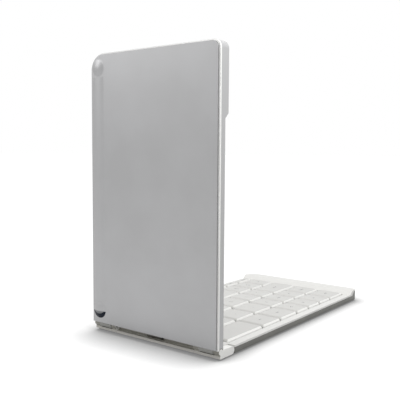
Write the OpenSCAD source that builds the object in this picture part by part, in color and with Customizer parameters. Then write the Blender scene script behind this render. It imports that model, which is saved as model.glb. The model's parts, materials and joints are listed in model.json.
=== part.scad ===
// Folding keyboard: two halves joined by a spine that has a hinge along each of its
// long edges, so the halves open flat for typing and shut face to face like a book.
// It stands here half open: the right half lies on the table and the left half is upright.
// +X runs from the hinge to the right half's outer end, +Y to the rear row and +Z is up.
// The origin is on the table, under the middle of the whole part.

/* [Halves] */
// Corner radius at the front of each outer end
corner_front = 4; // [2:0.5:6]
// Corner radius at the rear of each outer end
corner_rear = 8.5; // [5:0.5:10]
// Floor thickness of the tray and thickness of the back sheet
floor_t = 1.0; // [0.8:0.1:1.4]
// Height of the right half's deck over its outer face
deck_h_right = 3.9; // [3.8:0.1:4.3]
// Height of the left half's edge over its outer face
deck_h_left = 5.1; // [5.1:0.1:5.6]
// Wall thickness of the aluminium tray
tray_wall = 0.8; // [0.6:0.1:1.2]
// Height of the tray's wall
tray_wall_h = 2.95; // [2.4:0.05:3.2]
// Height of the tray's wall round the rim
tray_rim_wall_h = 5.6; // [5:0.1:5.8]
// How far the back sheet's edge stays inside the left frame's edge
sheet_inset = 0.7; // [0.4:0.1:1]

/* [Outer ends] */
// Height of the rim at the right half's outer end, over its outer face
rim_h = 6.3; // [6:0.1:6.4]
// Width of the rim's flat top
rim_w = 7.4; // [6.5:0.1:8]
// Width of the rim's sloped inner side
rim_slope_w = 2.8; // [2:0.1:3.5]
// Height of the electronics compartment over the left half's outer face
bay_h = 7.6; // [7.4:0.1:7.7]
// Length of the electronics compartment, chamfer included
bay_len = 35.5; // [34.5:0.1:36]
// Chamfer on the compartment's inner edge
bay_chamfer = 2.5; // [1:0.1:2.5]
// Wall thickness of the compartment's cover
bay_wall = 1.0; // [0.8:0.1:1.3]
// Width of the half-round rib along the rear of the left half's back
rib_w = 9.2; // [7:0.1:9.4]
// How far the rib stands proud of the back
rib_h = 0.7; // [0.4:0.05:0.8]
// How far the round studs at the rib's ends stand proud of the back
stud_h = 1.0; // [0.9:0.05:1.4]
// Distance of the rib from the rear edge
rib_edge = 1.2; // [1.2:0.1:3]
// Distance of the rib's ends from the hinge edge and from the outer end
rib_end = 2.8; // [2.8:0.1:6]

/* [Hinge] */
// Thickness of the spine
spine_h = 3.9; // [3.6:0.1:3.9]
// Height and setback of the left half's hinge axis from the back's outer face
axis_left = 3.3; // [3.2:0.05:3.35]
// Distance of the right half's hinge axis from the back's outer face
axis_right = 12.4; // [12.3:0.1:13]
// Distance of the spine's lip from the back's outer face
spine_lip = 2.8; // [2.75:0.05:3]
// Radius of the barrels on the left half
barrel_r = 1.8; // [1.6:0.05:1.8]
// Radius of the spine's ears round the left half's pins
ear_r = 1.5; // [1.3:0.05:1.5]
// Radius of the hinge pins
pin_r = 0.75; // [0.6:0.05:0.85]
// Radial clearance of a pin in the barrel that turns on it
pin_clear = 0.05; // [0.02:0.01:0.08]
// Clearance between pieces that move past each other
clear = 0.3; // [0.25:0.05:0.3]
// Width of the spine's end walls
end_wall_w = 3.6; // [3:0.1:4.5]
// Length of each hinge barrel, with its two gaps
barrel_w = 8.7; // [7:0.1:10]
// Width of the spine's inner ears
inner_ear_w = 3.3; // [2.5:0.1:4]
// Width of the flat cable that crosses the hinge
cable_w = 10; // [6:1:14]
// Thickness of the flat cable
cable_t = 0.15; // [0.1:0.05:0.3]

/* [Keys] */
// Width of a letter key, gap included
letter_pitch = 18.6; // [18:0.1:18.8]
// Width of a punctuation or command key, gap included
narrow_pitch = 14.3; // [13.8:0.1:14.6]
// Width of each half of the space bar, gap included
space_w = 33.2; // [30:0.1:36]
// Width of the B and Y keys, next to the hinge, gap included
inner_w = 15; // [14:0.1:16]
// Width of the T, N and M keys, gap included
middle_w = 16.9; // [16:0.1:18]
// Width of the outermost key beside the Z key, gap included
edge_w = 14; // [13:0.1:20]
// Depth of a full row, gap included
row_pitch = 17.6; // [16:0.1:19]
// Depth of the narrow top row, gap included
top_row_pitch = 6.4; // [5:0.1:9]
// Gap between keys
key_gap = 1.2; // [1:0.1:1.4]
// Height of the key tops over the outer face
key_top = 4.9; // [4.8:0.1:5]
// Height of a key cap's sides
key_side_h = 1.7; // [1.6:0.05:1.75]
// Thickness of a key cap's top
key_top_t = 1.0; // [0.8:0.05:1.1]
// Thickness of a key cap's sides
key_side_t = 1.0; // [0.8:0.1:1.1]
// Corner radius of a key cap
key_r = 1.4; // [0.8:0.1:1.8]
// Width of the frame between the front edge and the keys
margin_front = 4.6; // [4:0.1:5]
// Width of the frame between the keys and the rear edge
margin_rear = 2.6; // [2.2:0.1:3]
// Width of the frame between the hinge edge and the keys
margin_hinge = 1.3; // [1.2:0.1:1.5]
// Width of the frame between the keys and the rim
margin_rim = 0.7; // [0.6:0.1:1.2]
// Width of the frame between the keys and the compartment
margin_bay = 3.0; // [2:0.1:4]

/* [Under the keys] */
// Thickness of the steel support plate
plate_t = 0.3; // [0.2:0.05:0.4]
// Thickness of the switch membrane
membrane_t = 0.3; // [0.2:0.05:0.35]
// How far the plate and the membrane reach under the frame
plate_lap = 1.2; // [0.8:0.1:1.4]
// Base radius of a rubber dome
dome_r = 2.4; // [2:0.1:2.5]
// Top radius of a rubber dome
dome_top_r = 1.5; // [1.2:0.1:1.6]
// Base radius of a dome under the narrow top row
small_dome_r = 1.4; // [1:0.1:1.5]
// Radius of the key cap's boss that presses the dome
boss_r = 1.1; // [0.8:0.1:1.2]
// Length of the boss under the key cap's top
boss_h = 0.55; // [0.4:0.05:0.6]
// Length of a scissor link
link_len = 9.2; // [8:0.1:9.4]
// Width of the outer scissor link
link_w = 10.4; // [9.8:0.1:11]
// Width of a scissor link's bars
link_bar = 0.8; // [0.6:0.05:0.9]
// Thickness of a scissor link
link_t = 0.45; // [0.3:0.05:0.5]

/* [Electronics] */
// Width of the battery
battery_w = 24; // [20:0.5:25]
// Thickness of the battery
battery_t = 4.0; // [3:0.1:4.5]
// Length of the circuit board, front to rear
board_len = 20; // [18:0.5:21]
// Width of the circuit board
board_w = 24; // [22:0.5:25]
// Thickness of the circuit board
board_t = 0.8; // [0.6:0.1:1]
// Height of the board's posts
post_h = 0.6; // [0.5:0.05:0.7]
// Radius of the board's posts
post_r = 1.4; // [1:0.1:1.8]
// Width of the charging socket
usb_w = 7.6; // [7:0.1:8]
// Height of the charging socket
usb_h = 2.5; // [2.4:0.1:2.6]
// Depth of the charging socket
usb_len = 5.2; // [4.5:0.1:6]
// Wall of the charging socket's shell
usb_wall = 0.3; // [0.2:0.05:0.4]
// Thickness of the charging socket's tongue
usb_tongue = 0.6; // [0.4:0.05:0.7]
// Travel of the power switch
switch_travel = 3; // [2:0.5:3.5]
// Length of the power switch's knob
switch_knob_len = 4; // [3:0.5:5]
// Height of the power switch's knob
switch_knob_h = 1.2; // [1:0.1:1.2]
// Radius of the status light
light_r = 1.0; // [0.8:0.1:1.2]

/* [Small parts] */
// Radius of the closing magnets
magnet_r = 2.4; // [2:0.1:2.6]
// Thickness of the closing magnets
magnet_t = 1.6; // [1:0.1:1.8]
// Radius of the rubber feet
foot_r = 4; // [3:0.5:5]
// Height of the rubber feet
foot_h = 1.0; // [0.6:0.1:1.4]
// Radius of the screws' heads
screw_head_r = 1.3; // [1.1:0.05:1.4]
// Height of the screws' heads
screw_head_h = 0.6; // [0.5:0.05:0.7]
// Radius of the screws' shanks
screw_r = 0.6; // [0.5:0.05:0.7]
// Length of the screws' shanks under the head
screw_len = 1.9; // [1.6:0.1:2]

/* [Hidden] */
$fn = 48;
// facets of the large, shallow rounds
fine = 120;
// a cut runs this far past the faces that it opens
over = 1;
// gap between pieces that fit and don't move
snug = 0.1;

// Axes, in the upright pose. The left axis is as high as it is deep, so that the left
// half's back comes down level with the right half's underside.
spine_r = spine_h / 2;
right_axis = [axis_right, spine_r];
left_axis = [axis_left, axis_left];
cove_r = barrel_r + clear;
// The right half starts a clearance past the spine's round edge. The left half starts
// as high over the spine's axis, so the two ends meet when the keyboard is shut.
right_start = axis_right + spine_r + clear;
left_start = spine_r + spine_r + clear;

// The keys set the size of both halves: their depth from front to rear, and their length
// from the hinge edge to the outer end
depth = margin_front + 4 * row_pitch + top_row_pitch + margin_rear;
half_len = margin_hinge + inner_w + 4 * letter_pitch + edge_w + margin_bay + bay_len;
half_d = depth / 2;
barrel_out = half_d - end_wall_w;
barrel_in = barrel_out - barrel_w;
pin_inset = 1;
pin_out = half_d - pin_inset;
pin_in = barrel_in - inner_ear_w;

// Stack of layers under the keys, measured from a half's outer face
plate_top = floor_t + plate_t;
membrane_top = plate_top + membrane_t;
cap_low = key_top - key_side_h;
cap_under = key_top - key_top_t;
boss_low = cap_under - boss_h;
dome_gap = 0.05;
dome_taper = 0.3;
dome_skin = 0.4;

// Key area, in a half's own frame: u runs from the hinge edge outwards, y to the rear
bay_start = half_len - bay_len;
rim_start = half_len - rim_w - rim_slope_w;
wall_rise = tray_rim_wall_h - tray_wall_h;
area_y0 = -half_d + margin_front;
area_y1 = half_d - margin_rear;
area_u0 = margin_hinge;
area_end_right = rim_start - margin_rim;
area_end_left = bay_start - margin_bay;
row_y = [for (r = [0:4]) area_y0 + r * row_pitch];
top_row = 4;

// One row of keys is a list of [name, width], from the hinge edge outwards. The row's
// last key has no width of its own: it runs to the end of the key area.
L = letter_pitch;
N = narrow_pitch;
top_keys_right = 9;
top_keys_left = 7;
ROWS_RIGHT = [
    [["space_bar_right", space_w], ["lower", L], ["lower", L], ["lower", N], ["lower", N],
     ["lower", N], ["lower", 0]],
    [["key_n", middle_w], ["key_m", middle_w], ["mark", L], ["mark", L], ["mark", N], ["lower", N],
     ["lower", N], ["lower", 0]],
    [["key_h", L], ["key_j", L], ["key_k", L], ["key_l", L], ["mark", N], ["mark", N], ["lower", 0]],
    [["key_y", inner_w], ["key_u", L], ["key_i", L], ["key_o", L], ["key_p", L], ["mark", N],
     ["mark", N], ["mark", 0]],
    [for (i = [1:top_keys_right]) ["top", i < top_keys_right ? N : 0]]
];
ROWS_LEFT = [
    [["space_bar_left", space_w], ["lower", L], ["lower", L], ["lower", L], ["lower", 0]],
    [["key_b", inner_w], ["key_v", L], ["key_c", L], ["key_x", L], ["key_z", L], ["lower", 0]],
    [["key_g", L], ["key_f", L], ["key_d", L], ["key_s", L], ["key_a", L], ["lower", 0]],
    [["key_t", middle_w], ["key_r", L], ["key_e", L], ["key_w", L], ["key_q", L], ["lower", 0]],
    [for (i = [1:top_keys_left]) ["top", i < top_keys_left ? N : 0]]
];

function sum_to(row, n) = n == 0 ? 0 : row[n - 1][1] + sum_to(row, n - 1);
function cell_u0(row, n) = area_u0 + sum_to(row, n);
function cell_u1(row, n, area_end) = n == len(row) - 1 ? area_end : cell_u0(row, n + 1);
// All cells of a half as [name, row number, u0, u1]
function cells(rows, area_end) = [for (r = [0:len(rows) - 1]) for (n = [0:len(rows[r]) - 1])
    [rows[r][n][0], r, cell_u0(rows[r], n), cell_u1(rows[r], n, area_end)]];
function cell_y0(c) = row_y[c[1]];
function cell_y1(c) = c[1] == top_row ? area_y1 : row_y[c[1] + 1];
function cell_mid(c) = [(c[2] + c[3]) / 2, (cell_y0(c) + cell_y1(c)) / 2];
function single(name) = name[0] == "k" || name[0] == "s";
CELLS_RIGHT = cells(ROWS_RIGHT, area_end_right);
CELLS_LEFT = cells(ROWS_LEFT, area_end_left);
SINGLES_RIGHT = [for (c = CELLS_RIGHT) if (single(c[0])) c[0]];
SINGLES_LEFT = [for (c = CELLS_LEFT) if (single(c[0])) c[0]];

// Small parts' places, in a half's own frame
rim_mid = half_len - rim_w / 2;
magnet_side = 14;
magnet_y = half_d - magnet_side;
magnet_skin = 0.8;
magnet_low = rim_h - magnet_t - magnet_skin;
// the tray's screws: a row under the front edge and two under the rim
screw_side = 2.2;
screw_u0 = 22;
screw_step = 44;
SCREWS_RIGHT = concat([for (i = [0:2]) [screw_u0 + i * screw_step, -half_d + screw_side]],
    [for (y = [-1, 1]) [rim_mid, y * magnet_y / 2]]);
// the compartment cover's screws, near its corners
bay_screw_inset = 4.5;
bay_screw_inner = 6;
SCREWS_LEFT = [for (u = [bay_start + bay_screw_inner, half_len - bay_screw_inset])
    for (y = [-1, 1]) [u, y * (half_d - bay_screw_inset)]];
foot_hinge = 10;
foot_end = 16;
foot_side = 9;
FEET = [for (u = [foot_hinge, half_len - foot_end]) for (y = [-1, 1]) [u, y * (half_d - foot_side)]];

// Electronics compartment: battery at the front, board at the rear with a tab that
// carries the charging socket and the power switch
bay_side = 7;
bay_in_u0 = bay_start + bay_chamfer + snug;
bay_in_u1 = half_len - bay_wall;
bay_in_y = half_d - bay_side;
bay_slack = 0.5;
battery_u0 = bay_in_u0 + 2 * bay_slack;
battery_r = 1.5;
battery_y0 = -bay_in_y + bay_slack;
board_u0 = battery_u0;
board_y1 = bay_in_y - bay_slack;
// the battery fills the room that the board leaves
battery_y1 = board_y1 - board_len - 2 * bay_slack;
board_w0 = floor_t + post_h;
board_top = board_w0 + board_t;
tab_wall = 2.7;
tab_margin = 2;
tab_y1 = half_d - tab_wall;
tab_u1 = board_u0 + board_w;
usb_u = tab_u1 - 2 * clear - usb_w / 2;
usb_mouth = half_d - 2 * snug;
usb_back = 1;
switch_u = usb_u - usb_w / 2 - 3 * clear - tab_margin - switch_travel - switch_knob_len / 2;
tab_u0 = switch_u - switch_knob_len / 2 - tab_margin;
switch_lift = 1.2;
switch_w = board_top + switch_lift;
switch_face = half_d - clear;
switch_plate_t = 1.2;
switch_plate_h = 2.6;
switch_body_d = 2.8;
switch_body_h = 2.0;
switch_body_y0 = tab_y1 - 2 * clear - switch_plate_t - switch_body_d;
switch_ridge_r = 0.25;
// chips as [u, y, length, depth] from the board's corner
CHIPS = [[13.5, 5, 5, 5], [4, 3.5, 4, 3], [14, 12, 7, 3.5]];
chip_h = 1;
light_u = board_u0 + board_w / 3;
light_y = board_y1 - board_len / 3;

// Flat cable: it lies through the middle of the spine and runs into both halves
cable_z = spine_r;
cable_x = axis_left - cable_t / 2;
cable_end = margin_hinge + key_gap / 2 - snug;

// Rib on the back sheet: a segment of a round bar, with a round stud just past each end. The lower
// half of the stud at the hinge is a rubber pad.
function bar_r(h) = (rib_w * rib_w / 4 + h * h) / (2 * h);
rib_y = half_d - rib_edge - rib_w / 2;
pad_step = 0.7;
stud_u0 = rib_end + rib_w / 2;
stud_u1 = half_len - rib_end - rib_w / 2;

// The whole part stands on its feet, with the origin under its middle
box_x0 = -stud_h;
box_x1 = right_start + half_len;
module place() translate([-(box_x0 + box_x1) / 2, 0, foot_h]) children();
// A half's own frame (u, y, w) onto the lying right half and the upright left half
module on_right() place() translate([right_start, 0, 0]) children();
module on_left() place() translate([0, 0, left_start]) mirror([1, 0, 0]) rotate([0, -90, 0]) children();
// A copy of the children at the front and at the rear
module both_ends() { children(); mirror([0, 1, 0]) children(); }
// A flat slab from w0 to w1
module slab(w0, w1) translate([0, 0, w0]) linear_extrude(w1 - w0) children();
// A side profile drawn in (u, w), run through the whole depth
module through_depth(d = depth) translate([0, d / 2, 0]) rotate([90, 0, 0]) linear_extrude(d) children();
// A round bar along Y, from y0 to y1, at [x, z]
module y_bar(r, at, y0, y1) translate([at[0], y1, at[1]]) rotate([90, 0, 0]) cylinder(r = r, h = y1 - y0);

// Outline of a half, moved inwards by inset, with square corners at the hinge
module outline(inset = 0, start = 0) {
    l = half_len - inset;
    h = half_d - inset;
    rf = corner_front - inset;
    rr = corner_rear - inset;
    difference() {
        translate([start, -h]) square([l - start, 2 * h]);
        translate([l - rf, -h - over]) square([rf + over, rf + over]);
        translate([l - rr, h - rr]) square([rr + over, rr + over]);
    }
    translate([l - rf, -h + rf]) circle(rf);
    translate([l - rr, h - rr]) circle(rr);
}
// A rectangle with four round corners
module round_rect(u0, u1, y0, y1, r) {
    translate([u0 + r, y0]) square([u1 - u0 - 2 * r, y1 - y0]);
    translate([u0, y0 + r]) square([u1 - u0, y1 - y0 - 2 * r]);
    for (u = [u0 + r, u1 - r]) for (y = [y0 + r, y1 - r]) translate([u, y]) circle(r);
}
// The rectangle that the keys of a half fill
module key_area(area_end) round_rect(area_u0, area_end, area_y0, area_y1, key_r);
// The plate and the membrane reach under the frame, except at the thin hinge wall
module plate_shape(area_end)
    round_rect(area_u0, area_end + plate_lap, area_y0 - plate_lap, area_y1 + plate_lap, key_r);

// Side profile under the tray's wall top, which steps up round the rim
module below_tray_wall() polygon([[-over, -over], [half_len + over, -over],
    [half_len + over, tray_rim_wall_h], [rim_start + rim_slope_w + wall_rise, tray_rim_wall_h],
    [rim_start + rim_slope_w, tray_wall_h], [-over, tray_wall_h]]);

// Right half's aluminium tray, pressed from sheet
module right_tray() color("darkgray") on_right() difference() {
    intersection() {
        slab(0, tray_rim_wall_h) outline();
        through_depth() below_tray_wall();
    }
    slab(floor_t, rim_h) outline(tray_wall, -over);
    for (s = SCREWS_RIGHT) translate([s[0], s[1], 0]) {
        translate([0, 0, -over]) cylinder(r = screw_r + snug, h = floor_t + 2 * over);
        translate([0, 0, -over]) cylinder(r = screw_head_r, h = over + screw_head_h);
    }
}

// Barrels at both ends of a half's hinge edge, joined to its frame. at is the hinge axis
// in the half's own (u, w) and r the barrels' radius.
module barrels(at, r) both_ends() difference() {
    union() {
        y_bar(r, at, barrel_in + clear, barrel_out - clear);
        translate([at[0], barrel_in + clear, at[1] - r]) cube([-at[0], barrel_w - 2 * clear, 2 * r]);
    }
    y_bar(pin_r + pin_clear, at, barrel_in, barrel_out);
}
// Slot for the flat cable in a half's hinge wall, for a cable whose lower face is at w
module cable_slot(w) translate([-over, -cable_w / 2 - clear, w - clear])
    cube([margin_hinge + 2 * over, cable_w + 2 * clear, cable_t + 2 * clear]);

// Right half's white deck frame, with the rim that the left half shuts on
module right_frame() color("white") on_right() {
    difference() {
        intersection() {
            slab(floor_t, rim_h) outline();
            through_depth() polygon([[0, floor_t], [half_len, floor_t], [half_len, rim_h],
                [rim_start + rim_slope_w, rim_h], [rim_start, deck_h_right], [0, deck_h_right]]);
        }
        // room for the tray's wall
        difference() {
            through_depth(depth + 2 * over) below_tray_wall();
            slab(-2 * over, rim_h) outline(tray_wall, -2 * over);
        }
        slab(0, rim_h + over) key_area(area_end_right);
        slab(0, membrane_top) plate_shape(area_end_right);
        cable_slot(cable_z);
        for (y = [-1, 1]) translate([rim_mid, y * magnet_y, 0])
            cylinder(r = magnet_r, h = magnet_low + magnet_t);
        for (s = SCREWS_RIGHT) translate([s[0], s[1], 0])
            cylinder(r = screw_r, h = screw_head_h + screw_len);
    }
    barrels([axis_right - right_start, spine_r], spine_r);
}

// White spine between the halves: a flat bar with a round right edge, ears round the
// left half's pins and notches for both halves' barrels
module hinge_spine() color("white") place() difference() {
    union() {
        through_depth() {
            translate([spine_lip, 0]) square([axis_right - spine_lip, spine_h]);
            translate(right_axis) circle(spine_r);
        }
        both_ends() {
            y_bar(ear_r, left_axis, barrel_out, half_d);
            y_bar(ear_r, left_axis, pin_in, barrel_in);
        }
    }
    y_bar(cove_r, left_axis, -pin_in, pin_in);
    both_ends() {
        y_bar(cove_r, left_axis, barrel_in, barrel_out);
        translate([axis_right - spine_r - clear, barrel_in, -over])
            cube([2 * spine_r + clear + over, barrel_w, spine_h + 2 * over]);
        y_bar(pin_r, left_axis, pin_in, pin_out);
        y_bar(pin_r, right_axis, pin_in, pin_out);
    }
    translate([0, -cable_w / 2 - clear, cable_z - clear])
        cube([right_start, cable_w + 2 * clear, cable_t + 2 * clear]);
}
// Steel pins of both hinges, pressed into the spine
module hinge_pins() color("silver") place() both_ends()
    for (axis = [left_axis, right_axis]) y_bar(pin_r, axis, pin_in, pin_out);

// Flat cable that joins the two halves' membranes through the spine
module flex_cable() color("dimgray") place() translate([0, -cable_w / 2, 0]) {
    translate([cable_x, 0, cable_z]) cube([right_start + cable_end - cable_x, cable_w, cable_t]);
    translate([cable_x, 0, cable_z]) cube([cable_t, cable_w, left_start + cable_end - cable_z]);
}

// One round stud of the rib, at u
module stud(u) translate([u, rib_y, bar_r(stud_h) - stud_h]) sphere(bar_r(stud_h), $fn = fine);
// Left half's aluminium back sheet, with a pressed half-round rib along its rear edge
module back_cover() color("silver") on_left() {
    slab(0, floor_t) outline(sheet_inset, sheet_inset / 2);
    difference() {
        intersection() {
            union() {
                stud(stud_u0);
                stud(stud_u1);
                translate([stud_u0 + rib_w / 2 + clear, rib_y, bar_r(rib_h) - rib_h]) rotate([0, 90, 0])
                    cylinder(r = bar_r(rib_h), h = stud_u1 - stud_u0 - rib_w - 2 * clear);
            }
            translate([0, rib_y - half_d / 2, -half_d]) cube([half_len, half_d, half_d + snug]);
        }
        pad_place();
    }
    // posts that carry the circuit board
    for (u = [board_u0 + post_r, board_u0 + board_w - post_r])
        for (y = [board_y1 - board_len + post_r, board_y1 - post_r])
            translate([u, y, floor_t / 2]) cylinder(r = post_r, h = board_w0 - floor_t / 2);
}
// Box round the lower half of the stud at the hinge
module pad_place() translate([0, rib_y - half_d / 2, -half_d]) cube([stud_u0 - pad_step, half_d, half_d]);
// Rubber pad that finishes the rib at the hinge
module back_pad() color("black") on_left() intersection() {
    stud(stud_u0);
    pad_place();
}
// Room in the left half for the spine's ears
module ear_room() both_ends() {
    y_bar(ear_r + clear, [axis_left - left_start, axis_left], barrel_out - clear, half_d + over);
    y_bar(ear_r + clear, [axis_left - left_start, axis_left], pin_in - clear, barrel_in + clear);
}
// Hollow of the electronics compartment, seen from above
module bay_shape() {
    translate([bay_in_u0, -bay_in_y]) square([bay_in_u1 - bay_in_u0, 2 * bay_in_y]);
    translate([tab_u0, 0]) square([tab_u1 - tab_u0, tab_y1]);
}

// Left half's white frame, with the keys' opening and the electronics compartment
module left_frame() color("white") on_left() {
    difference() {
        slab(floor_t, deck_h_left) outline();
        slab(0, deck_h_left + over) key_area(area_end_left);
        slab(0, membrane_top) plate_shape(area_end_left);
        slab(0, deck_h_left + over) bay_shape();
        ear_room();
        cable_slot(cable_x);
        for (s = SCREWS_LEFT) translate([s[0], s[1], floor_t + over])
            cylinder(r = screw_r, h = deck_h_left);
        // charging socket's mouth, and the power switch's slot
        translate([usb_u - usb_w / 2 - snug, tab_y1 - over, board_top - snug])
            cube([usb_w + 2 * snug, tab_wall + 2 * over, deck_h_left]);
        translate([switch_u - switch_knob_len / 2 - clear, tab_y1 - over, switch_w - clear])
            cube([switch_knob_len + switch_travel + 2 * clear, tab_wall + 2 * over,
                switch_knob_h + 2 * clear]);
    }
    barrels([axis_left - left_start, axis_left], barrel_r);
}

// White cover of the electronics compartment, screwed to the left frame
module compartment_cover() color("white") on_left() difference() {
    intersection() {
        slab(deck_h_left, bay_h) outline();
        through_depth() polygon([[bay_start, deck_h_left], [half_len, deck_h_left], [half_len, bay_h],
            [bay_start + bay_chamfer, bay_h]]);
    }
    slab(deck_h_left - over, bay_h - bay_wall) bay_shape();
    translate([light_u, light_y, 0]) cylinder(r = light_r, h = bay_h + over);
    for (s = SCREWS_LEFT) translate([s[0], s[1], bay_h - screw_head_h]) {
        cylinder(r = screw_head_r, h = screw_head_h + over);
        translate([0, 0, -bay_h]) cylinder(r = screw_r + snug, h = bay_h + over);
    }
}

// Pouch battery, on the back sheet
module battery() color("lightsteelblue") on_left() slab(floor_t, floor_t + battery_t)
    round_rect(battery_u0, battery_u0 + battery_w, battery_y0, battery_y1, battery_r);

// Circuit board on the back sheet's posts, with its chips
module circuit_board() color("darkgreen") on_left() {
    slab(board_w0, board_top) {
        translate([board_u0, board_y1 - board_len]) square([board_w, board_len]);
        translate([tab_u0 + clear, board_y1 - over])
            square([tab_u1 - tab_u0 - 2 * clear, tab_y1 - board_y1 + over - 2 * snug]);
    }
    for (chip = CHIPS) translate([board_u0 + chip[0], board_y1 - board_len + chip[1], board_top])
        cube([chip[2], chip[3], chip_h]);
    // body of the slide switch, behind its slider
    translate([switch_u - switch_knob_len / 2, switch_body_y0, board_top])
        cube([switch_knob_len + switch_travel, switch_body_d, switch_body_h]);
}

// Charging socket: a thin shell with a tongue, soldered to the board's tab
module usb_port() color("silver") on_left() translate([usb_u, usb_mouth, board_top]) difference() {
    translate([-usb_w / 2, -usb_len, 0]) cube([usb_w, usb_len, usb_h]);
    difference() {
        translate([-usb_w / 2 + usb_wall, -usb_len + usb_back, usb_wall])
            cube([usb_w - 2 * usb_wall, usb_len, usb_h - 2 * usb_wall]);
        translate([-usb_w / 3, -usb_len, (usb_h - usb_tongue) / 2])
            cube([usb_w * 2 / 3, usb_len - 2 * usb_wall, usb_tongue]);
    }
}

// Power switch's slider: a ridged knob in the frame's slot, with a plate behind it
module power_switch() color("dimgray") on_left() translate([switch_u, 0, switch_w]) {
    difference() {
        translate([-switch_knob_len / 2, tab_y1 - over, 0])
            cube([switch_knob_len, switch_face - tab_y1 + over, switch_knob_h]);
        for (g = [-1:1]) translate([g, switch_face, -over])
            cylinder(r = switch_ridge_r, h = switch_knob_h + 2 * over);
    }
    translate([-switch_knob_len / 2, tab_y1 - clear - switch_plate_t, -switch_w + board_top + clear])
        cube([switch_knob_len, switch_plate_t, switch_plate_h]);
}

// Clear rod that carries the status lamp's light through the cover
module status_light() color("lightcyan") on_left() translate([light_u, light_y, board_top])
    cylinder(r = light_r, h = bay_h - board_top);

// Steel plates and switch membranes under the keys
module support_plate(area_end) color("gray") slab(floor_t, plate_top) plate_shape(area_end);
module membrane(area_end) color("gainsboro") slab(plate_top, membrane_top) plate_shape(area_end);
module right_support_plate() on_right() support_plate(area_end_right);
module left_support_plate() on_left() support_plate(area_end_left);
module right_membrane() on_right() membrane(area_end_right);
module left_membrane() on_left() membrane(area_end_left);

// One hollow rubber dome on the membrane, under a cell's middle
module dome(c) {
    r = c[1] == top_row ? small_dome_r : dome_r;
    r_top = min(dome_top_r, r - dome_taper);
    h = boss_low - dome_gap - membrane_top;
    translate([cell_mid(c)[0], cell_mid(c)[1], membrane_top]) difference() {
        cylinder(r1 = r, r2 = r_top, h = h);
        translate([0, 0, -dome_skin]) cylinder(r1 = r - dome_skin, r2 = r_top - dome_skin, h = h);
    }
}
module right_domes() color("whitesmoke") on_right() for (c = CELLS_RIGHT) dome(c);
module left_domes() color("whitesmoke") on_left() for (c = CELLS_LEFT) dome(c);

// Two crossed links that keep a key level, joined by a pivot at each side
link_mid = (membrane_top + cap_under) / 2;
// height that a sloping link needs, in its own thicknesses
link_room = 1.3;
module link(len, width, tilt) rotate([0, tilt, 0]) difference() {
    cube([len, width, link_t], center = true);
    cube([len - 2 * link_bar, width - 2 * link_bar, 2 * link_t], center = true);
}
module scissor(c) {
    room = c[3] - c[2] - key_gap - 2 * key_side_t - 2 * clear;
    len = min(link_len, room);
    tilt = asin((cap_under - membrane_top - link_room * link_t) / len);
    inner_link_w = link_w - 2 * link_bar - 2 * clear;
    translate([cell_mid(c)[0], cell_mid(c)[1], link_mid]) {
        link(len, link_w, tilt);
        link(len, inner_link_w, -tilt);
        both_ends() translate([0, inner_link_w / 2 - link_bar / 2, 0]) rotate([-90, 0, 0])
            cylinder(r = link_t / 3, h = link_bar + clear);
    }
}
module right_scissors() color("white") on_right() for (c = CELLS_RIGHT) if (c[1] < top_row) scissor(c);
module left_scissors() color("white") on_left() for (c = CELLS_LEFT) if (c[1] < top_row) scissor(c);

// Outline of a cell, moved inwards by inset
module cell_shape(c, inset, r)
    round_rect(c[2] + inset, c[3] - inset, cell_y0(c) + inset, cell_y1(c) - inset, r);
// Hollow key cap with a boss over the dome
module cap(c) {
    gap = key_gap / 2;
    hollow = gap + key_side_t;
    difference() {
        slab(cap_low, key_top) cell_shape(c, gap, key_r);
        slab(cap_low - over, cap_under) cell_shape(c, hollow, key_r / 2);
    }
    translate([cell_mid(c)[0], cell_mid(c)[1], boss_low]) cylinder(r = boss_r, h = key_top_t / 2 + boss_h);
}
module right_caps(name) color("whitesmoke") on_right() for (c = CELLS_RIGHT) if (c[0] == name) cap(c);
module left_caps(name) color("whitesmoke") on_left() for (c = CELLS_LEFT) if (c[0] == name) cap(c);

// Magnets that hold the keyboard shut
module right_magnets() color("silver") on_right() for (y = [-1, 1])
    translate([rim_mid, y * magnet_y, magnet_low]) cylinder(r = magnet_r, h = magnet_t);
module left_magnets() color("silver") on_left() for (y = [-1, 1])
    translate([rim_mid, y * magnet_y, bay_h - bay_wall - magnet_t]) cylinder(r = magnet_r, h = magnet_t);

// Rubber feet under the tray
module right_feet() color("dimgray") on_right() for (f = FEET)
    translate([f[0], f[1], -foot_h]) cylinder(r = foot_r, h = foot_h);

// A small flat-headed screw, head down
module screw() {
    cylinder(r = screw_head_r, h = screw_head_h);
    cylinder(r = screw_r, h = screw_head_h + screw_len);
}
module right_screws() color("silver") on_right() for (s = SCREWS_RIGHT) translate([s[0], s[1], 0]) screw();
module left_screws() color("silver") on_left() for (s = SCREWS_LEFT)
    translate([s[0], s[1], bay_h]) mirror([0, 0, 1]) {
        screw();
        cylinder(r = screw_r, h = bay_h - deck_h_left + screw_len);
    }

right_tray();
right_frame();
right_support_plate();
right_membrane();
right_domes();
right_scissors();
right_magnets();
right_feet();
right_screws();
hinge_spine();
hinge_pins();
flex_cable();
back_cover();
back_pad();
left_frame();
compartment_cover();
left_support_plate();
left_membrane();
left_domes();
left_scissors();
left_magnets();
left_screws();
battery();
circuit_board();
usb_port();
power_switch();
status_light();
right_caps("mark");  // punctuation_keys
right_caps("lower");  // right_command_keys
right_caps("top");  // right_top_row_keys
left_caps("lower");  // left_command_keys
left_caps("top");  // left_top_row_keys
for (name = SINGLES_RIGHT) right_caps(name);
for (name = SINGLES_LEFT) left_caps(name);
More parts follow.
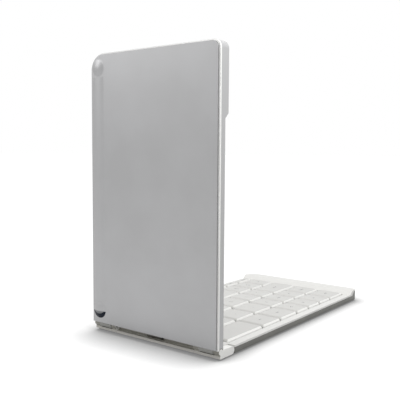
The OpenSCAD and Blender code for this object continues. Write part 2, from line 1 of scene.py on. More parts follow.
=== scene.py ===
"""A folding keyboard, half open: one half lies on the table, the other stands upright.

The sections follow the keyboard as it is put together: the lying half from its tray
upwards, the spine with its hinges and cable, then the upright half with its electronics.
"""
import math
import bpy
from mathutils import Matrix, Vector
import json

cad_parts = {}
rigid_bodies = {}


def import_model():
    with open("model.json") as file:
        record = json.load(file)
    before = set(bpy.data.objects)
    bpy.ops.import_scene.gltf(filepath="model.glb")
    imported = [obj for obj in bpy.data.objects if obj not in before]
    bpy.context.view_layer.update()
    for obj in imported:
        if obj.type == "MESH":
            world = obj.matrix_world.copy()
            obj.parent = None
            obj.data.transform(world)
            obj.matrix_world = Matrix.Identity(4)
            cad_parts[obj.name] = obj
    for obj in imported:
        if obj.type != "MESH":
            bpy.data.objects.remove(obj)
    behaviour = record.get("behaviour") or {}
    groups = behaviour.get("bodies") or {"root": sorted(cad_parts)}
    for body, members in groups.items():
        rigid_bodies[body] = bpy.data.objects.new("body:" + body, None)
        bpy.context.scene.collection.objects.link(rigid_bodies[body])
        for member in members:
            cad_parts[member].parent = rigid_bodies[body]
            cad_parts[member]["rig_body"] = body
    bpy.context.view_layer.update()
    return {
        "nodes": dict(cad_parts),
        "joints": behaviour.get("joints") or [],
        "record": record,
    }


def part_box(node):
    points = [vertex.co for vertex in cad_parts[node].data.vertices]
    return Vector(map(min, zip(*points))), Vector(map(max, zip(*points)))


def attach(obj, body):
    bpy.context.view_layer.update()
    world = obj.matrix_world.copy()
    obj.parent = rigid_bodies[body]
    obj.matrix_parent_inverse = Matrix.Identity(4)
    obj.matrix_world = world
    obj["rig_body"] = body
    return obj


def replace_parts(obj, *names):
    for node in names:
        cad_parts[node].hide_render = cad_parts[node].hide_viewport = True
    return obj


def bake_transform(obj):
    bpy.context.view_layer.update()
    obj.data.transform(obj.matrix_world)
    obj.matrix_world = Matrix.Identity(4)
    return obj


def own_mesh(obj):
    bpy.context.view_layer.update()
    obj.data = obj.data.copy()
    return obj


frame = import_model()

MM = 0.001
scene = bpy.context.scene
nodes = frame["nodes"]

eye = Vector((-303.165, -205.48, 98.08)) * MM
yaw, pitch, roll = (math.radians(angle) for angle in (37.73, 4.57, -0.36))
ahead = Vector((math.cos(yaw) * math.cos(pitch), math.sin(yaw) * math.cos(pitch), -math.sin(pitch)))
level = Vector((math.sin(yaw), -math.cos(yaw), 0))
downwards = ahead.cross(level)
rightwards = math.cos(roll) * level + math.sin(roll) * downwards
upwards = math.sin(roll) * level - math.cos(roll) * downwards

lens = bpy.data.cameras.new("camera")
lens.sensor_width = 36
lens.lens = 55.3
lens.clip_start = 10 * MM
camera = bpy.data.objects.new("camera", lens)
facing = Matrix((rightwards, upwards, -ahead)).transposed().to_4x4()
camera.matrix_world = Matrix.Translation(eye) @ facing
scene.collection.objects.link(camera)
scene.camera = camera

# ---------------------------------------------------------------------------------------
# Right tray. Thin aluminium sheet, pressed into a tray and blasted with fine beads, in a dark warm grey
# well below the back cover's aluminium. It carries everything in the lying half.

SAME_POINT = 0.002 * MM
FLAT_ANGLE = math.radians(0.5)
EDGE_ANGLE = math.radians(38)


def link(finish, source, output, target, entry):
    """Joins a node's output to another node's input."""
    finish.node_tree.links.new(source.outputs[output], target.inputs[entry])


def add_noise(material, size, detail=2.0, stretch=(1, 1, 1)):
    """Noise with grains of the given size, longer along an axis with a small stretch."""
    tree = material.node_tree
    place = tree.nodes.new("ShaderNodeTexCoord")
    mapping = tree.nodes.new("ShaderNodeMapping")
    mapping.inputs["Scale"].default_value = stretch
    noise = tree.nodes.new("ShaderNodeTexNoise")
    noise.inputs["Scale"].default_value = 1 / size
    noise.inputs["Detail"].default_value = detail
    link(material, place, "Object", mapping, "Vector")
    link(material, mapping, "Vector", noise, "Vector")
    return noise


def add_colour(material, source, output, dark, light, low=0.35, high=0.65):
    """Colours the surface from dark to light as the source goes from low to high."""
    ramp = material.node_tree.nodes.new("ShaderNodeValToRGB")
    first, last = ramp.color_ramp.elements
    first.position, last.position = low, high
    first.color, last.color = (*dark, 1), (*light, 1)
    link(material, source, output, ramp, "Fac")
    link(material, ramp, "Color", material.node_tree.nodes["Principled BSDF"], "Base Color")


def surface(name, dark, light, rough, metal=0.0, patch=12 * MM, grain=0.3 * MM, depth=0.004 * MM,
            stretch=(1, 1, 1)):
    """A finish whose colour drifts from dark to light in patches, with a fine grain."""
    material = bpy.data.materials.new(name)
    material.use_nodes = True
    tree = material.node_tree
    shader = tree.nodes["Principled BSDF"]
    shader.inputs["Metallic"].default_value = metal
    add_colour(material, add_noise(material, patch, 3.0, stretch), "Fac", dark, light)
    fine = add_noise(material, grain, 2.0, stretch)
    gloss = tree.nodes.new("ShaderNodeMapRange")
    gloss.inputs["To Min"].default_value = rough[0]
    gloss.inputs["To Max"].default_value = rough[1]
    link(material, fine, "Fac", gloss, "Value")
    link(material, gloss, "Result", shader, "Roughness")
    bump = tree.nodes.new("ShaderNodeBump")
    bump.inputs["Distance"].default_value = depth
    link(material, fine, "Fac", bump, "Height")
    link(material, bump, "Normal", shader, "Normal")
    return material


def dress(names, material, edge=0.0, segments=3):
    """Gives CAD nodes a finish, and rounds their sharp edges by the given radius."""
    for name in names:
        piece = nodes[name]
        piece.material_slots[0].material = material
        if edge:
            weld = piece.modifiers.new("weld", "WELD")
            weld.merge_threshold = SAME_POINT
            flats = piece.modifiers.new("whole flats", "DECIMATE")
            flats.decimate_type = "DISSOLVE"
            flats.angle_limit = FLAT_ANGLE
            rounding = piece.modifiers.new("rounding", "BEVEL")
            rounding.width = edge
            rounding.segments = segments
            rounding.limit_method = "ANGLE"
            rounding.angle_limit = EDGE_ANGLE
            rounding.use_clamp_overlap = True
            piece.modifiers.new("even normals", "WEIGHTED_NORMAL").keep_sharp = False


tray_metal = surface("tray aluminium", (0.158, 0.158, 0.148), (0.172, 0.172, 0.160), (0.36, 0.46),
                     metal=1.0, grain=0.18 * MM, depth=0.003 * MM)
dress(["right_tray"], tray_metal, edge=0.22 * MM)

# ---------------------------------------------------------------------------------------
# Right frame. Injection-moulded white plastic with a fine satin texture. The sides that look along the
# keyboard are painted light grey, as painted shade. It clips into the tray, and the upright half shuts
# on its raised outer rim.

SATIN = (0.32, 0.42)
deck_white = (0.735, 0.732, 0.710)
side_shade_grey = (0.660, 0.658, 0.640)


def compute(finish, operation, *values, kind="ShaderNodeMath"):
    """A node that works out a result from other nodes' outputs and from numbers."""
    node = finish.node_tree.nodes.new(kind)
    node.operation = operation
    for entry, value in enumerate(values):
        if isinstance(value, bpy.types.NodeSocket):
            finish.node_tree.links.new(value, node.inputs[entry])
        else:
            node.inputs[entry].default_value = value
    return node


def two_tone_and_painted_light(name, main, second, axis, sign=0, low=0.90, high=0.985):
    """Moulded plastic of a main colour, with a second one where it faces along an axis. On the left
    frame and the compartment cover the second colour is two-tone paint; it is a painted highlight on the
    keys, and painted shade on the right frame and the spine.

    The sign picks one direction of the axis, and 0 picks both. The colour changes as the
    part of the normal along the axis goes from low to high.
    """
    material = surface(name, main, main, SATIN, grain=0.20 * MM, depth=0.003 * MM)
    looks = material.node_tree.nodes.new("ShaderNodeTexCoord")
    parts = material.node_tree.nodes.new("ShaderNodeSeparateXYZ")
    link(material, looks, "Normal", parts, "Vector")
    along = compute(material, "MULTIPLY" if sign else "ABSOLUTE", parts.outputs[axis], sign)
    add_colour(material, along, "Value", main, second, low, high)
    return material


# Painted shade: faces that look along X are coloured light grey.
deck_plastic = two_tone_and_painted_light("frame plastic", deck_white, side_shade_grey, "X")
dress(["right_frame"], deck_plastic, edge=0.18 * MM)

# ---------------------------------------------------------------------------------------
# Plates and membranes of both halves. A rolled steel plate that the keys are hooked into,
# and on it a milky switch membrane with silver tracks printed on it.

rolled_steel = surface("rolled steel", (0.46, 0.46, 0.45), (0.58, 0.58, 0.57), (0.22, 0.38),
                       metal=1.0, patch=4 * MM, grain=0.15 * MM, depth=0.002 * MM, stretch=(0.06, 1, 1))
dress(["right_support_plate", "left_support_plate"], rolled_steel)

TRACKS_PER_M = 90
TRACK_WANDER = 1.5


def track_film():
    """Milky film with thin printed silver tracks, side by side along Y."""
    material = surface("printed membrane", (0.62, 0.62, 0.58), (0.70, 0.70, 0.66), (0.18, 0.26),
                       depth=0.001 * MM)
    tree = material.node_tree
    place = tree.nodes.new("ShaderNodeTexCoord")
    tracks = tree.nodes.new("ShaderNodeTexWave")
    tracks.bands_direction = "Y"
    tracks.inputs["Scale"].default_value = TRACKS_PER_M
    tracks.inputs["Distortion"].default_value = TRACK_WANDER
    link(material, place, "Object", tracks, "Vector")
    add_colour(material, tracks, "Fac", (0.66, 0.66, 0.62), (0.30, 0.31, 0.32), low=0.80, high=0.90)
    return material


dress(["right_membrane", "left_membrane"], track_film())

# ---------------------------------------------------------------------------------------
# Keys. Moulded hollow caps with a broad bevel round a slightly dished, pressed face, and a matt grey
# coat all over; the front-facing bevel is painted white instead, as a painted highlight where the light
# falls on it. They snap onto the crossed links.
import bmesh

CAP_R = 1.4 * MM
LEAST_R = 0.3 * MM
CAP_WALL = 1.0 * MM
BOSS_R = 1.1 * MM
BOSS_H = 0.55 * MM
CORNER_STEPS = 5
# the bevel, in steps of mm inwards from the cap's side and down from its top
BEVEL = [(0.0, 0.95), (0.03, 0.84), (0.10, 0.75), (0.74, 0.12), (0.84, 0.04), (0.97, 0.0)]
# the dish, in steps as shares of its width and of its depth
DISH = 0.06 * MM
DISH_W = 5 * MM
DISH_STEPS = [(0.25, 0.35), (0.5, 0.8), (0.75, 1.0)]
CAP_EDGE = 40
LYING_TOP = 20 * MM


def separate_boxes(name, outwards):
    """The box of each separate solid in a node, row by row and outwards from the hinge.

    The axis outwards is 0, or X, in the lying half and 2, or Z, in the upright half.
    """
    solids = bmesh.new()
    solids.from_mesh(nodes[name].data)
    bmesh.ops.remove_doubles(solids, verts=solids.verts, dist=SAME_POINT)
    unseen = set(solids.verts)
    boxes = []
    while unseen:
        reached = [unseen.pop()]
        corners = []
        while reached:
            corner = reached.pop()
            corners.append(corner.co.copy())
            for edge in corner.link_edges:
                other = edge.other_vert(corner)
                if other in unseen:
                    unseen.remove(other)
                    reached.append(other)
        low, high = ([pick(c[axis] for c in corners) for axis in range(3)] for pick in (min, max))
        boxes.append([Vector(low), Vector(high)])
    solids.free()
    return sorted(boxes, key=lambda box: (round((box[0].y + box[1].y) / 2, 3), box[0][outwards]))


def swap_axes(point, outwards):
    """Swaps X and Z in the upright half, so that its caps are made as if they lay."""
    return tuple(point) if outwards == 0 else (point[2], point[1], point[0])


def cap_ring(low, high, inset, height):
    """A rounded rectangle inside low and high, moved inwards by inset, at a height."""
    r = max(CAP_R - inset, LEAST_R)
    left, right = low[0] + inset + r, high[0] - inset - r
    front, rear = low[1] + inset + r, high[1] - inset - r
    ring = []
    for quarter, (a, b) in enumerate([(right, rear), (left, rear), (left, front), (right, front)]):
        for step in range(CORNER_STEPS + 1):
            turn = (quarter + step / CORNER_STEPS) * math.pi / 2
            ring.append((a + r * math.cos(turn), b + r * math.sin(turn), height))
    return ring


def boss_ring(low, high, height):
    """The round boss under the cap's middle, with as many points as the other rings."""
    count = 4 * (CORNER_STEPS + 1)
    a, b = (low[0] + high[0]) / 2, (low[1] + high[1]) / 2
    turns = [(k + 0.5) / count * 2 * math.pi for k in range(count)]
    return [(a + BOSS_R * math.cos(turn), b + BOSS_R * math.sin(turn), height) for turn in turns]


def add_cap(caps, low, high, outwards):
    """One closed cap: boss, hollow, rim, side, bevel and dish, as rings from the inside out."""
    base, top = low[2], high[2]
    roof = top - CAP_WALL
    rings = [boss_ring(low, high, roof - BOSS_H), boss_ring(low, high, roof),
             cap_ring(low, high, CAP_WALL, roof), cap_ring(low, high, CAP_WALL, base),
             cap_ring(low, high, 0, base)]
    rings += [cap_ring(low, high, inwards * MM, top - below * MM) for inwards, below in BEVEL]
    rim = BEVEL[-1][0] * MM
    room = min(min(high[0] - low[0], high[1] - low[1]) / 2 - rim, DISH_W)
    rings += [cap_ring(low, high, rim + share * room, top - sink * DISH) for share, sink in DISH_STEPS]
    made = [[caps.verts.new(swap_axes(point, outwards)) for point in ring] for ring in rings]
    for first, second in zip(made, made[1:]):
        for k in range(len(first)):
            after = (k + 1) % len(first)
            caps.faces.new((first[k], first[after], second[after], second[k]))
    caps.faces.new(reversed(made[0]))
    caps.faces.new(made[-1])


def to_mesh(name, modelled):
    """A mesh from modelled faces, which are freed."""
    mesh = bpy.data.meshes.new(name)
    modelled.to_mesh(mesh)
    modelled.free()
    return mesh


def smooth(mesh, edge_degrees):
    """Shades a mesh smooth, apart from edges that are sharper than the given angle."""
    mesh.shade_smooth()
    mesh.set_sharp_from_angle(angle=math.radians(edge_degrees))


def add_piece(mesh, material, node):
    """A piece with the mesh's name, which rides with a CAD node."""
    mesh.materials.clear()
    mesh.materials.append(material)
    piece = bpy.data.objects.new(mesh.name, mesh)
    scene.collection.objects.link(piece)
    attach(piece, nodes[node]["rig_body"])
    return piece


def mould_caps(name, material, outwards):
    """Replaces a node's caps by caps with the full bevel and dish, riding with the node."""
    caps = bmesh.new()
    for low, high in separate_boxes(name, outwards):
        add_cap(caps, swap_axes(low, outwards), swap_axes(high, outwards), outwards)
    bmesh.ops.recalc_face_normals(caps, faces=caps.faces)
    mesh = to_mesh("cap_" + name, caps)
    smooth(mesh, CAP_EDGE)
    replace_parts(add_piece(mesh, material, name), name)


front_bevel_highlight = (0.880, 0.878, 0.855)
cap_coat = (0.600, 0.596, 0.577)
subparts = frame["record"]["subparts"]
key_nodes = [row["node"] for row in subparts if row["material_slot"] == "key_plastic"]
right_keys = [name for name in key_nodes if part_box(name)[1].z < LYING_TOP]
left_keys = [name for name in key_nodes if name not in right_keys]
# Painted highlight: faces that look to the front are white, the rest take the grey coat.
cap_plastic = two_tone_and_painted_light("key plastic", cap_coat, front_bevel_highlight, "Y", sign=-1, low=0.20, high=0.50)
for name in right_keys:
    mould_caps(name, cap_plastic, outwards=0)
for name in left_keys:
    mould_caps(name, cap_plastic, outwards=2)

# ---------------------------------------------------------------------------------------
# Domes and links. A rubber dome under each key gives way and closes the contact, and crossed links of
# slick nylon keep the key level.

LINK_EDGE = 35


def is_under(point, caps, outwards):
    """Whether a point lies under one of the caps, given as boxes."""
    return any(low.y < point.y < high.y and low[outwards] < point[outwards] < high[outwards]
               for low, high in caps)


def flatten_under(name, material, keys, outwards):
    """Splits a node by the keys above it, into one piece for each key."""
    for key in keys:
        caps = separate_boxes(key, outwards)
        share = bmesh.new()
        share.from_mesh(nodes[name].data)
        bmesh.ops.remove_doubles(share, verts=share.verts, dist=SAME_POINT)
        elsewhere = [corner for corner in share.verts if not is_under(corner.co, caps, outwards)]
        bmesh.ops.delete(share, geom=elsewhere, context="VERTS")
        if not share.verts:
            share.free()
            continue
        mesh = to_mesh(name + "_of_" + key, share)
        smooth(mesh, LINK_EDGE)
        piece = add_piece(mesh, material, name)
        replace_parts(piece, name)
        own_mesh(piece)


dome_rubber = surface("dome rubber", (0.60, 0.60, 0.57), (0.68, 0.68, 0.65), (0.48, 0.62), patch=2 * MM)
link_nylon = surface("link nylon", (0.66, 0.66, 0.65), (0.74, 0.74, 0.73), (0.28, 0.38), patch=3 * MM)
for side, keys, outwards in (("right", right_keys, 0), ("left", left_keys, 2)):
    flatten_under(side + "_domes", dome_rubber, keys, outwards)
    flatten_under(side + "_scissors", link_nylon, keys, outwards)

# ---------------------------------------------------------------------------------------
# Legends. Plain letters, digits, signs and short words in dark grey ink, printed on the
# caps' pressed faces and hardened.

INK_RISE = 0.012 * MM
INK_POINT = 0.0005 * MM
LETTER_H = 2.5 * MM
WORD_H = 1.5 * MM
CAPITAL_SHARE = 0.72
FULL_KEY = 10 * MM

ink = surface("legend ink", (0.10, 0.10, 0.11), (0.14, 0.14, 0.15), (0.45, 0.60), patch=3 * MM)


def print_word(word, height):
    """A word as a thin flat mesh, centred on the origin, read along +X."""
    letters = bpy.data.curves.new("word", "FONT")
    letters.body = word
    letters.size = height / CAPITAL_SHARE
    letters.align_x = "CENTER"
    letters.align_y = "CENTER"
    letters.extrude = INK_RISE
    letters.resolution_u = 3
    holder = bpy.data.objects.new("word", letters)
    scene.collection.objects.link(holder)
    flat = bpy.data.meshes.new_from_object(holder.evaluated_get(bpy.context.evaluated_depsgraph_get()))
    bpy.data.objects.remove(holder)
    return flat


def print_legends(name, words):
    """Prints the words on a node's caps, in the caps' order, and rides with that node."""
    printed = bmesh.new()
    upright = name in left_keys
    for (low, high), word in zip(separate_boxes(name, 2 if upright else 0), words):
        middle = (low + high) / 2
        if upright:
            middle.x = high.x - DISH
            turn = Matrix(((0, 0, 1), (0, 1, 0), (-1, 0, 0))).to_4x4()
        else:
            middle.z = high.z - DISH
            turn = Matrix.Identity(4)
        flat = print_word(word, LETTER_H if len(word) == 1 and high.y - low.y > FULL_KEY else WORD_H)
        flat.transform(Matrix.Translation(middle) @ turn)
        printed.from_mesh(flat)
        bpy.data.meshes.remove(flat)
    bmesh.ops.remove_doubles(printed, verts=printed.verts, dist=INK_POINT)
    add_piece(to_mesh("legend_" + name, printed), ink, name)


for name in right_keys + left_keys:
    if name.startswith("key_"):
        print_legends(name, [name[-1].upper()])
print_legends("punctuation_keys", [",", ".", "/", ";", "'", "[", "]", "="])
print_legends("right_command_keys", ["alt", "ctrl", "<", "v", ">", "end", "shift", "^", "home", "enter"])
print_legends("right_top_row_keys", ["7", "8", "9", "0", "-", "+", "ins", "del", "back"])
print_legends("left_command_keys", ["alt", "opt", "fn", "ctrl", "shift", "caps", "tab"])
print_legends("left_top_row_keys", ["6", "5", "4", "3", "2", "1", "esc"])

# ---------------------------------------------------------------------------------------
# Feet, screws and magnets. Soft rubber feet glued under the tray, nickel-plated flat-headed
# screws with cross recesses, and nickel-plated closing magnets.

foot_rubber = surface("foot rubber", (0.018, 0.018, 0.020), (0.032, 0.032, 0.034), (0.55, 0.75),
                      patch=3 * MM)
dress(["right_feet"], foot_rubber, edge=0.3 * MM)

nickel = surface("nickel plate", (0.60, 0.60, 0.58), (0.70, 0.70, 0.68), (0.14, 0.26), metal=1.0,
                 patch=3 * MM, depth=0.001 * MM)
dress(["right_magnets", "left_magnets"], nickel, edge=0.15 * MM)

RECESS_W = 0.32 * MM
RECESS_L = 1.5 * MM
RECESS_D = 0.45 * MM
SCREW_EDGE = 30


def add_cross(cutters, middle, facing):
    """Two crossing bars, centred on a screw's head, that cut its recess."""
    for long_way in range(3):
        if long_way != facing:
            size = [RECESS_W, RECESS_W, RECESS_W]
            size[long_way] = RECESS_L
            size[facing] = 2 * RECESS_D
            place = Matrix.Translation(middle) @ Matrix.Diagonal((*size, 1))
            bmesh.ops.create_cube(cutters, size=1, matrix=place)


def recess_screws(name, facing, head_end):
    """Replaces a node's plain screws by screws with a cross recess in the head."""
    cutters = bmesh.new()
    for box in separate_boxes(name, 0):
        middle = (box[0] + box[1]) / 2
        middle[facing] = box[head_end][facing]
        add_cross(cutters, middle, facing)
    cutter = bpy.data.objects.new("recess cutters", to_mesh("recess cutters", cutters))
    plain = bpy.data.objects.new("plain screws", nodes[name].data.copy())
    for holder in (cutter, plain):
        scene.collection.objects.link(holder)
    weld = plain.modifiers.new("weld", "WELD")
    weld.merge_threshold = SAME_POINT
    cut = plain.modifiers.new("recesses", "BOOLEAN")
    cut.operation = "DIFFERENCE"
    cut.solver = "EXACT"
    cut.use_self = True
    cut.object = cutter
    mesh = bpy.data.meshes.new_from_object(plain.evaluated_get(bpy.context.evaluated_depsgraph_get()))
    for holder in (plain, cutter):
        bpy.data.objects.remove(holder)
    mesh.name = "cross_" + name
    smooth(mesh, SCREW_EDGE)
    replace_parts(add_piece(mesh, nickel, name), name)


recess_screws("right_screws", facing=2, head_end=0)
recess_screws("left_screws", facing=0, head_end=1)

# ---------------------------------------------------------------------------------------
# Spine and pins. A white moulded bar that carries both hinges: its ears hold the left half's pins and
# its round edge those of the right half. Its outer side, facing -X, is painted grey as painted shade,
# and a darker painted shade fills the tunnel round the left hinge's axis. The pins are ground steel.

TUNNEL_R = 2.16 * MM
END_FACE = 0.7
bare_white = (0.875, 0.872, 0.848)
spine_side_shade = (0.560, 0.545, 0.510)
tunnel_shade_grey = (0.36, 0.35, 0.31)


def hinge_axis(name):
    """A point on a hinge's axis."""
    return Vector(next(joint["pos_m"] for joint in frame["joints"] if joint["name"] == name))


def paint_over(material, colour, where):
    """Covers a finish with a colour where a node's result is 1."""
    tree = material.node_tree
    base = tree.nodes["Principled BSDF"].inputs["Base Color"]
    mix = tree.nodes.new("ShaderNodeMix")
    mix.data_type = "RGBA"
    mix.inputs[7].default_value = (*colour, 1)
    tree.links.new(base.links[0].from_socket, mix.inputs[6])
    link(material, where, 0, mix, "Factor")
    tree.links.new(mix.outputs[2], base)


def add_painted_light_patch(material, colour, centre, spread, limit):
    """Paints a patch of shade or of reflected light: colours what is nearer to a centre than a limit,
    but none of the faces that end it in Y.

    Each axis counts as much as spread says, so a patch around an axis leaves that axis out.
    """
    place = material.node_tree.nodes.new("ShaderNodeTexCoord")
    looks = material.node_tree.nodes.new("ShaderNodeSeparateXYZ")
    link(material, place, "Normal", looks, "Vector")
    offset = compute(material, "SUBTRACT", place.outputs["Object"], centre, kind="ShaderNodeVectorMath")
    weighed = compute(material, "MULTIPLY", offset.outputs[0], spread, kind="ShaderNodeVectorMath")
    distance = compute(material, "LENGTH", weighed.outputs[0], kind="ShaderNodeVectorMath")
    inside = compute(material, "LESS_THAN", distance.outputs["Value"], limit)
    endwards = compute(material, "ABSOLUTE", looks.outputs["Y"])
    sideways = compute(material, "LESS_THAN", endwards.outputs[0], END_FACE)
    paint_over(material, colour, compute(material, "MULTIPLY", inside.outputs[0], sideways.outputs[0]))


left_axis = hinge_axis("left_fold")
# Painted shade: faces that look towards -X are greyer.
spine_plastic = two_tone_and_painted_light("spine plastic", bare_white, spine_side_shade, "X", sign=-1)
# Painted shade: darker grey in the tunnel round the left hinge's axis.
add_painted_light_patch(spine_plastic, tunnel_shade_grey, left_axis, (1, 0, 1), TUNNEL_R)
dress(["hinge_spine"], spine_plastic, edge=0.15 * MM)
ground_steel = surface("ground steel", (0.52, 0.52, 0.52), (0.62, 0.62, 0.62), (0.12, 0.22),
                       metal=1.0, patch=2 * MM, depth=0.001 * MM, stretch=(1, 0.05, 1))
dress(["hinge_pins"], ground_steel)

# ---------------------------------------------------------------------------------------
# Flat cable. A black-coated polyimide ribbon, lying loose in the spine. It bends on both hinge axes, and
# is made in two halves that meet in the middle of the spine.
import numpy as np

CABLE_T = 0.15 * MM
BEND_R = 1.0 * MM
BEND_START = 0.2
LYING_STEPS = 25
MIDDLE_STEPS = 6
BEND_STEPS = 8
RISING_STEPS = 14

cable_low, cable_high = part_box("flex_cable")
cable_w = cable_high.y - cable_low.y
right_axis = hinge_axis("spine_fold")
cable_z = right_axis.z
polyimide = surface("cable film", (0.075, 0.070, 0.058), (0.095, 0.088, 0.074), (0.30, 0.42),
                    patch=4 * MM)


def ribbon(name, route):
    """A flat ribbon of the cable's width that follows a route of (x, z) points."""
    sheet = bmesh.new()
    rings = []
    for i, point in enumerate(route):
        after = Vector(route[min(i + 1, len(route) - 1)])
        before = Vector(route[max(i - 1, 0)])
        along = (after - before).normalized()
        side = Vector((-along.y, along.x)) * CABLE_T / 2
        corners = [(point[0] + side.x * s, end * cable_w / 2, point[1] + side.y * s)
                   for s, end in ((1, -1), (1, 1), (-1, 1), (-1, -1))]
        rings.append([sheet.verts.new(corner) for corner in corners])
    for first, second in zip(rings, rings[1:]):
        for k in range(4):
            sheet.faces.new((first[k], first[(k + 1) % 4], second[(k + 1) % 4], second[k]))
    sheet.faces.new(reversed(rings[0]))
    sheet.faces.new(rings[-1])
    bmesh.ops.recalc_face_normals(sheet, faces=sheet.faces)
    mesh = to_mesh(name, sheet)
    mesh.materials.append(polyimide)
    piece = bpy.data.objects.new(name, mesh)
    scene.collection.objects.link(piece)
    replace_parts(piece, "flex_cable")
    return piece


middle_x = (right_axis.x + left_axis.x) / 2
bend_x = left_axis.x + BEND_R
lying_route = [(x, cable_z) for x in np.linspace(middle_x, cable_high.x, LYING_STEPS)]
rising_route = [(x, cable_z) for x in np.linspace(middle_x, bend_x, MIDDLE_STEPS)]
rising_route += [(bend_x - BEND_R * math.sin(turn), cable_z + BEND_R * (1 - math.cos(turn)))
                 for turn in np.linspace(BEND_START, math.pi / 2, BEND_STEPS)]
rising_route += [(left_axis.x, z) for z in np.linspace(cable_z + BEND_R, cable_high.z, RISING_STEPS)[1:]]
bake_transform(ribbon("flat_cable_right", lying_route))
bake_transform(ribbon("flat_cable_left", rising_route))

# ---------------------------------------------------------------------------------------
# Back cover. Aluminium sheet, blasted and clear anodised, with a low half-round rib pressed along its
# rear edge. A gloss-black rubber pad finishes the rib at the hinge; the grey on its upper part is a
# painted reflection.

REFLECTION_R = 2.9 * MM
REFLECTION_RISE = 1.5 * MM
REFLECTION_SPREAD = (0, 0.75, 1)
pad_reflection_grey = (0.26, 0.265, 0.275)

back_metal = surface("back aluminium", (0.346, 0.346, 0.350), (0.366, 0.366, 0.372), (0.34, 0.42),
                     metal=1.0, patch=30 * MM, grain=0.18 * MM, depth=0.002 * MM)
dress(["back_cover"], back_metal, edge=0.25 * MM)
pad_rubber = surface("black pad rubber", (0.003, 0.006, 0.014), (0.005, 0.010, 0.022), (0.30, 0.42),
                     patch=2 * MM)
pad_rubber.node_tree.nodes["Principled BSDF"].inputs["Specular IOR Level"].default_value = 0.15
pad_low, pad_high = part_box("back_pad")
reflection_centre = Vector((pad_low.x, (pad_low.y + pad_high.y) / 2, pad_high.z + REFLECTION_RISE))
# Painted reflection: the pad's upper part is grey, as if it caught the light.
add_painted_light_patch(pad_rubber, pad_reflection_grey, reflection_centre, REFLECTION_SPREAD, REFLECTION_R)
dress(["back_pad"], pad_rubber)

# ---------------------------------------------------------------------------------------
# Left frame and compartment cover. White plastic with silver-painted long sides, bare along the back
# cover, where a band whiter than the bare plastic is a painted highlight. The hinge knuckles are painted
# grey as painted shade. The cover is screwed over the battery and board.

KNUCKLE_R = 1.95 * MM
SEAM_W = 0.925 * MM
side_silver = (0.480, 0.482, 0.485)
seam_highlight_white = (0.94, 0.94, 0.92)
knuckle_shade_grey = (0.42, 0.42, 0.395)


def add_band(material, colour, seam):
    """Colours the surface on the low side of a seam along X, next to the back cover."""
    place = material.node_tree.nodes.new("ShaderNodeTexCoord")
    parts = material.node_tree.nodes.new("ShaderNodeSeparateXYZ")
    link(material, place, "Object", parts, "Vector")
    paint_over(material, colour, compute(material, "LESS_THAN", parts.outputs["X"], seam))


frame_plastic = two_tone_and_painted_light("left frame plastic", bare_white, side_silver, "Y", low=0.20, high=0.50)
# Painted highlight: a band next to the back cover, whiter than the bare plastic.
add_band(frame_plastic, seam_highlight_white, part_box("left_frame")[0].x + SEAM_W)
# Painted shade: grey on the hinge knuckles round the left hinge's axis.
add_painted_light_patch(frame_plastic, knuckle_shade_grey, left_axis, (1, 0, 1), KNUCKLE_R)
dress(["left_frame"], frame_plastic, edge=0.4 * MM)
cover_plastic = two_tone_and_painted_light("compartment plastic", bare_white, side_silver, "Y", low=0.20, high=0.50)
dress(["compartment_cover"], cover_plastic, edge=0.22 * MM)

# ---------------------------------------------------------------------------------------
# Electronics. A soft foil pouch battery, a green board with its chips, a steel charging
# socket, the slide switch's knob and the clear rod of the status light.

pouch_foil = surface("pouch foil", (0.42, 0.44, 0.47), (0.56, 0.58, 0.61), (0.24, 0.40), metal=1.0,
                     patch=6 * MM, grain=2.5 * MM, depth=0.06 * MM)
dress(["battery"], pouch_foil, edge=0.8 * MM)

board_resin = surface("solder mask", (0.012, 0.10, 0.035), (0.02, 0.16, 0.06), (0.16, 0.26),
                      patch=1.2 * MM)
dress(["circuit_board"], board_resin, edge=0.08 * MM, segments=2)

dress(["usb_port"], ground_steel, edge=0.1 * MM)

knob_plastic = surface("knob plastic", (0.045, 0.045, 0.048), (0.065, 0.065, 0.068), (0.42, 0.56))
dress(["power_switch"], knob_plastic, edge=0.1 * MM)

light_rod = surface("clear rod", (0.86, 0.93, 0.98), (0.90, 0.96, 1.0), (0.05, 0.12), depth=0.0005 * MM)
light_rod.node_tree.nodes["Principled BSDF"].inputs["Transmission Weight"].default_value = 0.8
dress(["status_light"], light_rod, edge=0.1 * MM)

# ---------------------------------------------------------------------------------------
# Studio. A wide bank of light from the rear, two softboxes, and a floor and surround that show as white
# but give less light back. The floor carries a painted contact shadow, a little darker where the
# keyboard stands on it.

LIT_WHITE = 0.80
FLOOR_LIT = 0.25
FLOOR_SEEN = 0.92
FLOOR_GLOW = 0.20
CONTACT_REACH = 30 * MM
CONTACT_DEPTH = 1.6
FLOOR_HALF = 12.0
LAMP_AIM = Vector((0, 0, 60)) * MM


def seen_rays(finish):
    """1 for what the camera, a reflection or clear plastic shows, and 0 for light on surfaces."""
    rays = finish.node_tree.nodes.new("ShaderNodeLightPath")
    direct = compute(finish, "MAXIMUM", rays.outputs["Is Camera Ray"], rays.outputs["Is Glossy Ray"])
    return compute(finish, "MAXIMUM", direct.outputs[0], rays.outputs["Is Transmission Ray"])


surround = bpy.data.worlds.new("surround")
surround.use_nodes = True
sky = surround.node_tree.nodes["Background"]
sky.inputs["Color"].default_value = (1, 1, 1, 1)
strength = surround.node_tree.nodes.new("ShaderNodeMapRange")
strength.inputs["To Min"].default_value = LIT_WHITE
strength.inputs["To Max"].default_value = 1.0
link(surround, seen_rays(surround), 0, strength, "Value")
link(surround, strength, "Result", sky, "Strength")
scene.world = surround

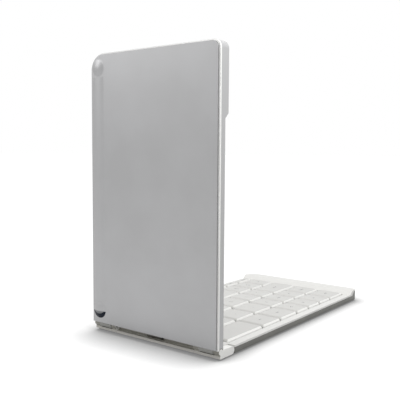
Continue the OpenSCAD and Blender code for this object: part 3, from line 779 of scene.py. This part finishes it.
paper = bpy.data.materials.new("floor paper")
paper.use_nodes = True
paper_shader = paper.node_tree.nodes["Principled BSDF"]
paper_shader.inputs["Roughness"].default_value = 0.9
paper_shader.inputs["Specular IOR Level"].default_value = 0.0
paper_shader.inputs["Emission Color"].default_value = (1, 1, 1, 1)
paper_seen = seen_rays(paper)
# Painted contact shadow: the floor's colour darkens where the keyboard shuts out nearby light.
contact = paper.node_tree.nodes.new("ShaderNodeAmbientOcclusion")
contact.inputs["Distance"].default_value = CONTACT_REACH
shade = compute(paper, "POWER", contact.outputs["AO"], CONTACT_DEPTH)
pale = compute(paper, "MULTIPLY", shade.outputs[0], FLOOR_SEEN)
tone = paper.node_tree.nodes.new("ShaderNodeMapRange")
tone.inputs["To Min"].default_value = FLOOR_LIT
link(paper, pale, 0, tone, "To Max")
link(paper, paper_seen, 0, tone, "Value")
link(paper, tone, "Result", paper_shader, "Base Color")
glow = compute(paper, "MULTIPLY", paper_seen.outputs[0], FLOOR_GLOW)
link(paper, glow, 0, paper_shader, "Emission Strength")

floor_mesh = bpy.data.meshes.new("floor")
floor_corners = [(x * FLOOR_HALF, y * FLOOR_HALF, 0) for x, y in ((-1, -1), (1, -1), (1, 1), (-1, 1))]
floor_mesh.from_pydata(floor_corners, [], [(0, 1, 2, 3)])
floor_mesh.materials.append(paper)
floor = bpy.data.objects.new("floor", floor_mesh)
scene.collection.objects.link(floor)


def add_softbox(name, place, width, watts):
    """A square softbox that faces the keyboard's middle."""
    box = bpy.data.lights.new(name, "AREA")
    box.size = width
    box.energy = watts
    lamp = bpy.data.objects.new(name, box)
    place = Vector(place)
    facing = (LAMP_AIM - place).to_track_quat("-Z", "Y").to_matrix().to_4x4()
    lamp.matrix_world = Matrix.Translation(place) @ facing
    lamp.visible_camera = False
    scene.collection.objects.link(lamp)


def add_bank(name, from_where, width, level):
    """Even light from one side, as from a wall of softboxes that spans width degrees."""
    sun = bpy.data.lights.new(name, "SUN")
    sun.angle = math.radians(width)
    sun.energy = level
    lamp = bpy.data.objects.new(name, sun)
    lamp.matrix_world = (-Vector(from_where)).to_track_quat("-Z", "Y").to_matrix().to_4x4()
    scene.collection.objects.link(lamp)


add_softbox("rear softbox", (-0.50, 0.50, 0.42), width=0.35, watts=0.60)
add_softbox("front softbox", (-0.10, -0.16, 0.24), width=0.12, watts=0.23)
add_bank("rear bank", (-0.35, 0.6, 1.0), width=60, level=0.5)

scene.view_settings.view_transform = "Standard"

# ---------------------------------------------------------------------------------------
import json
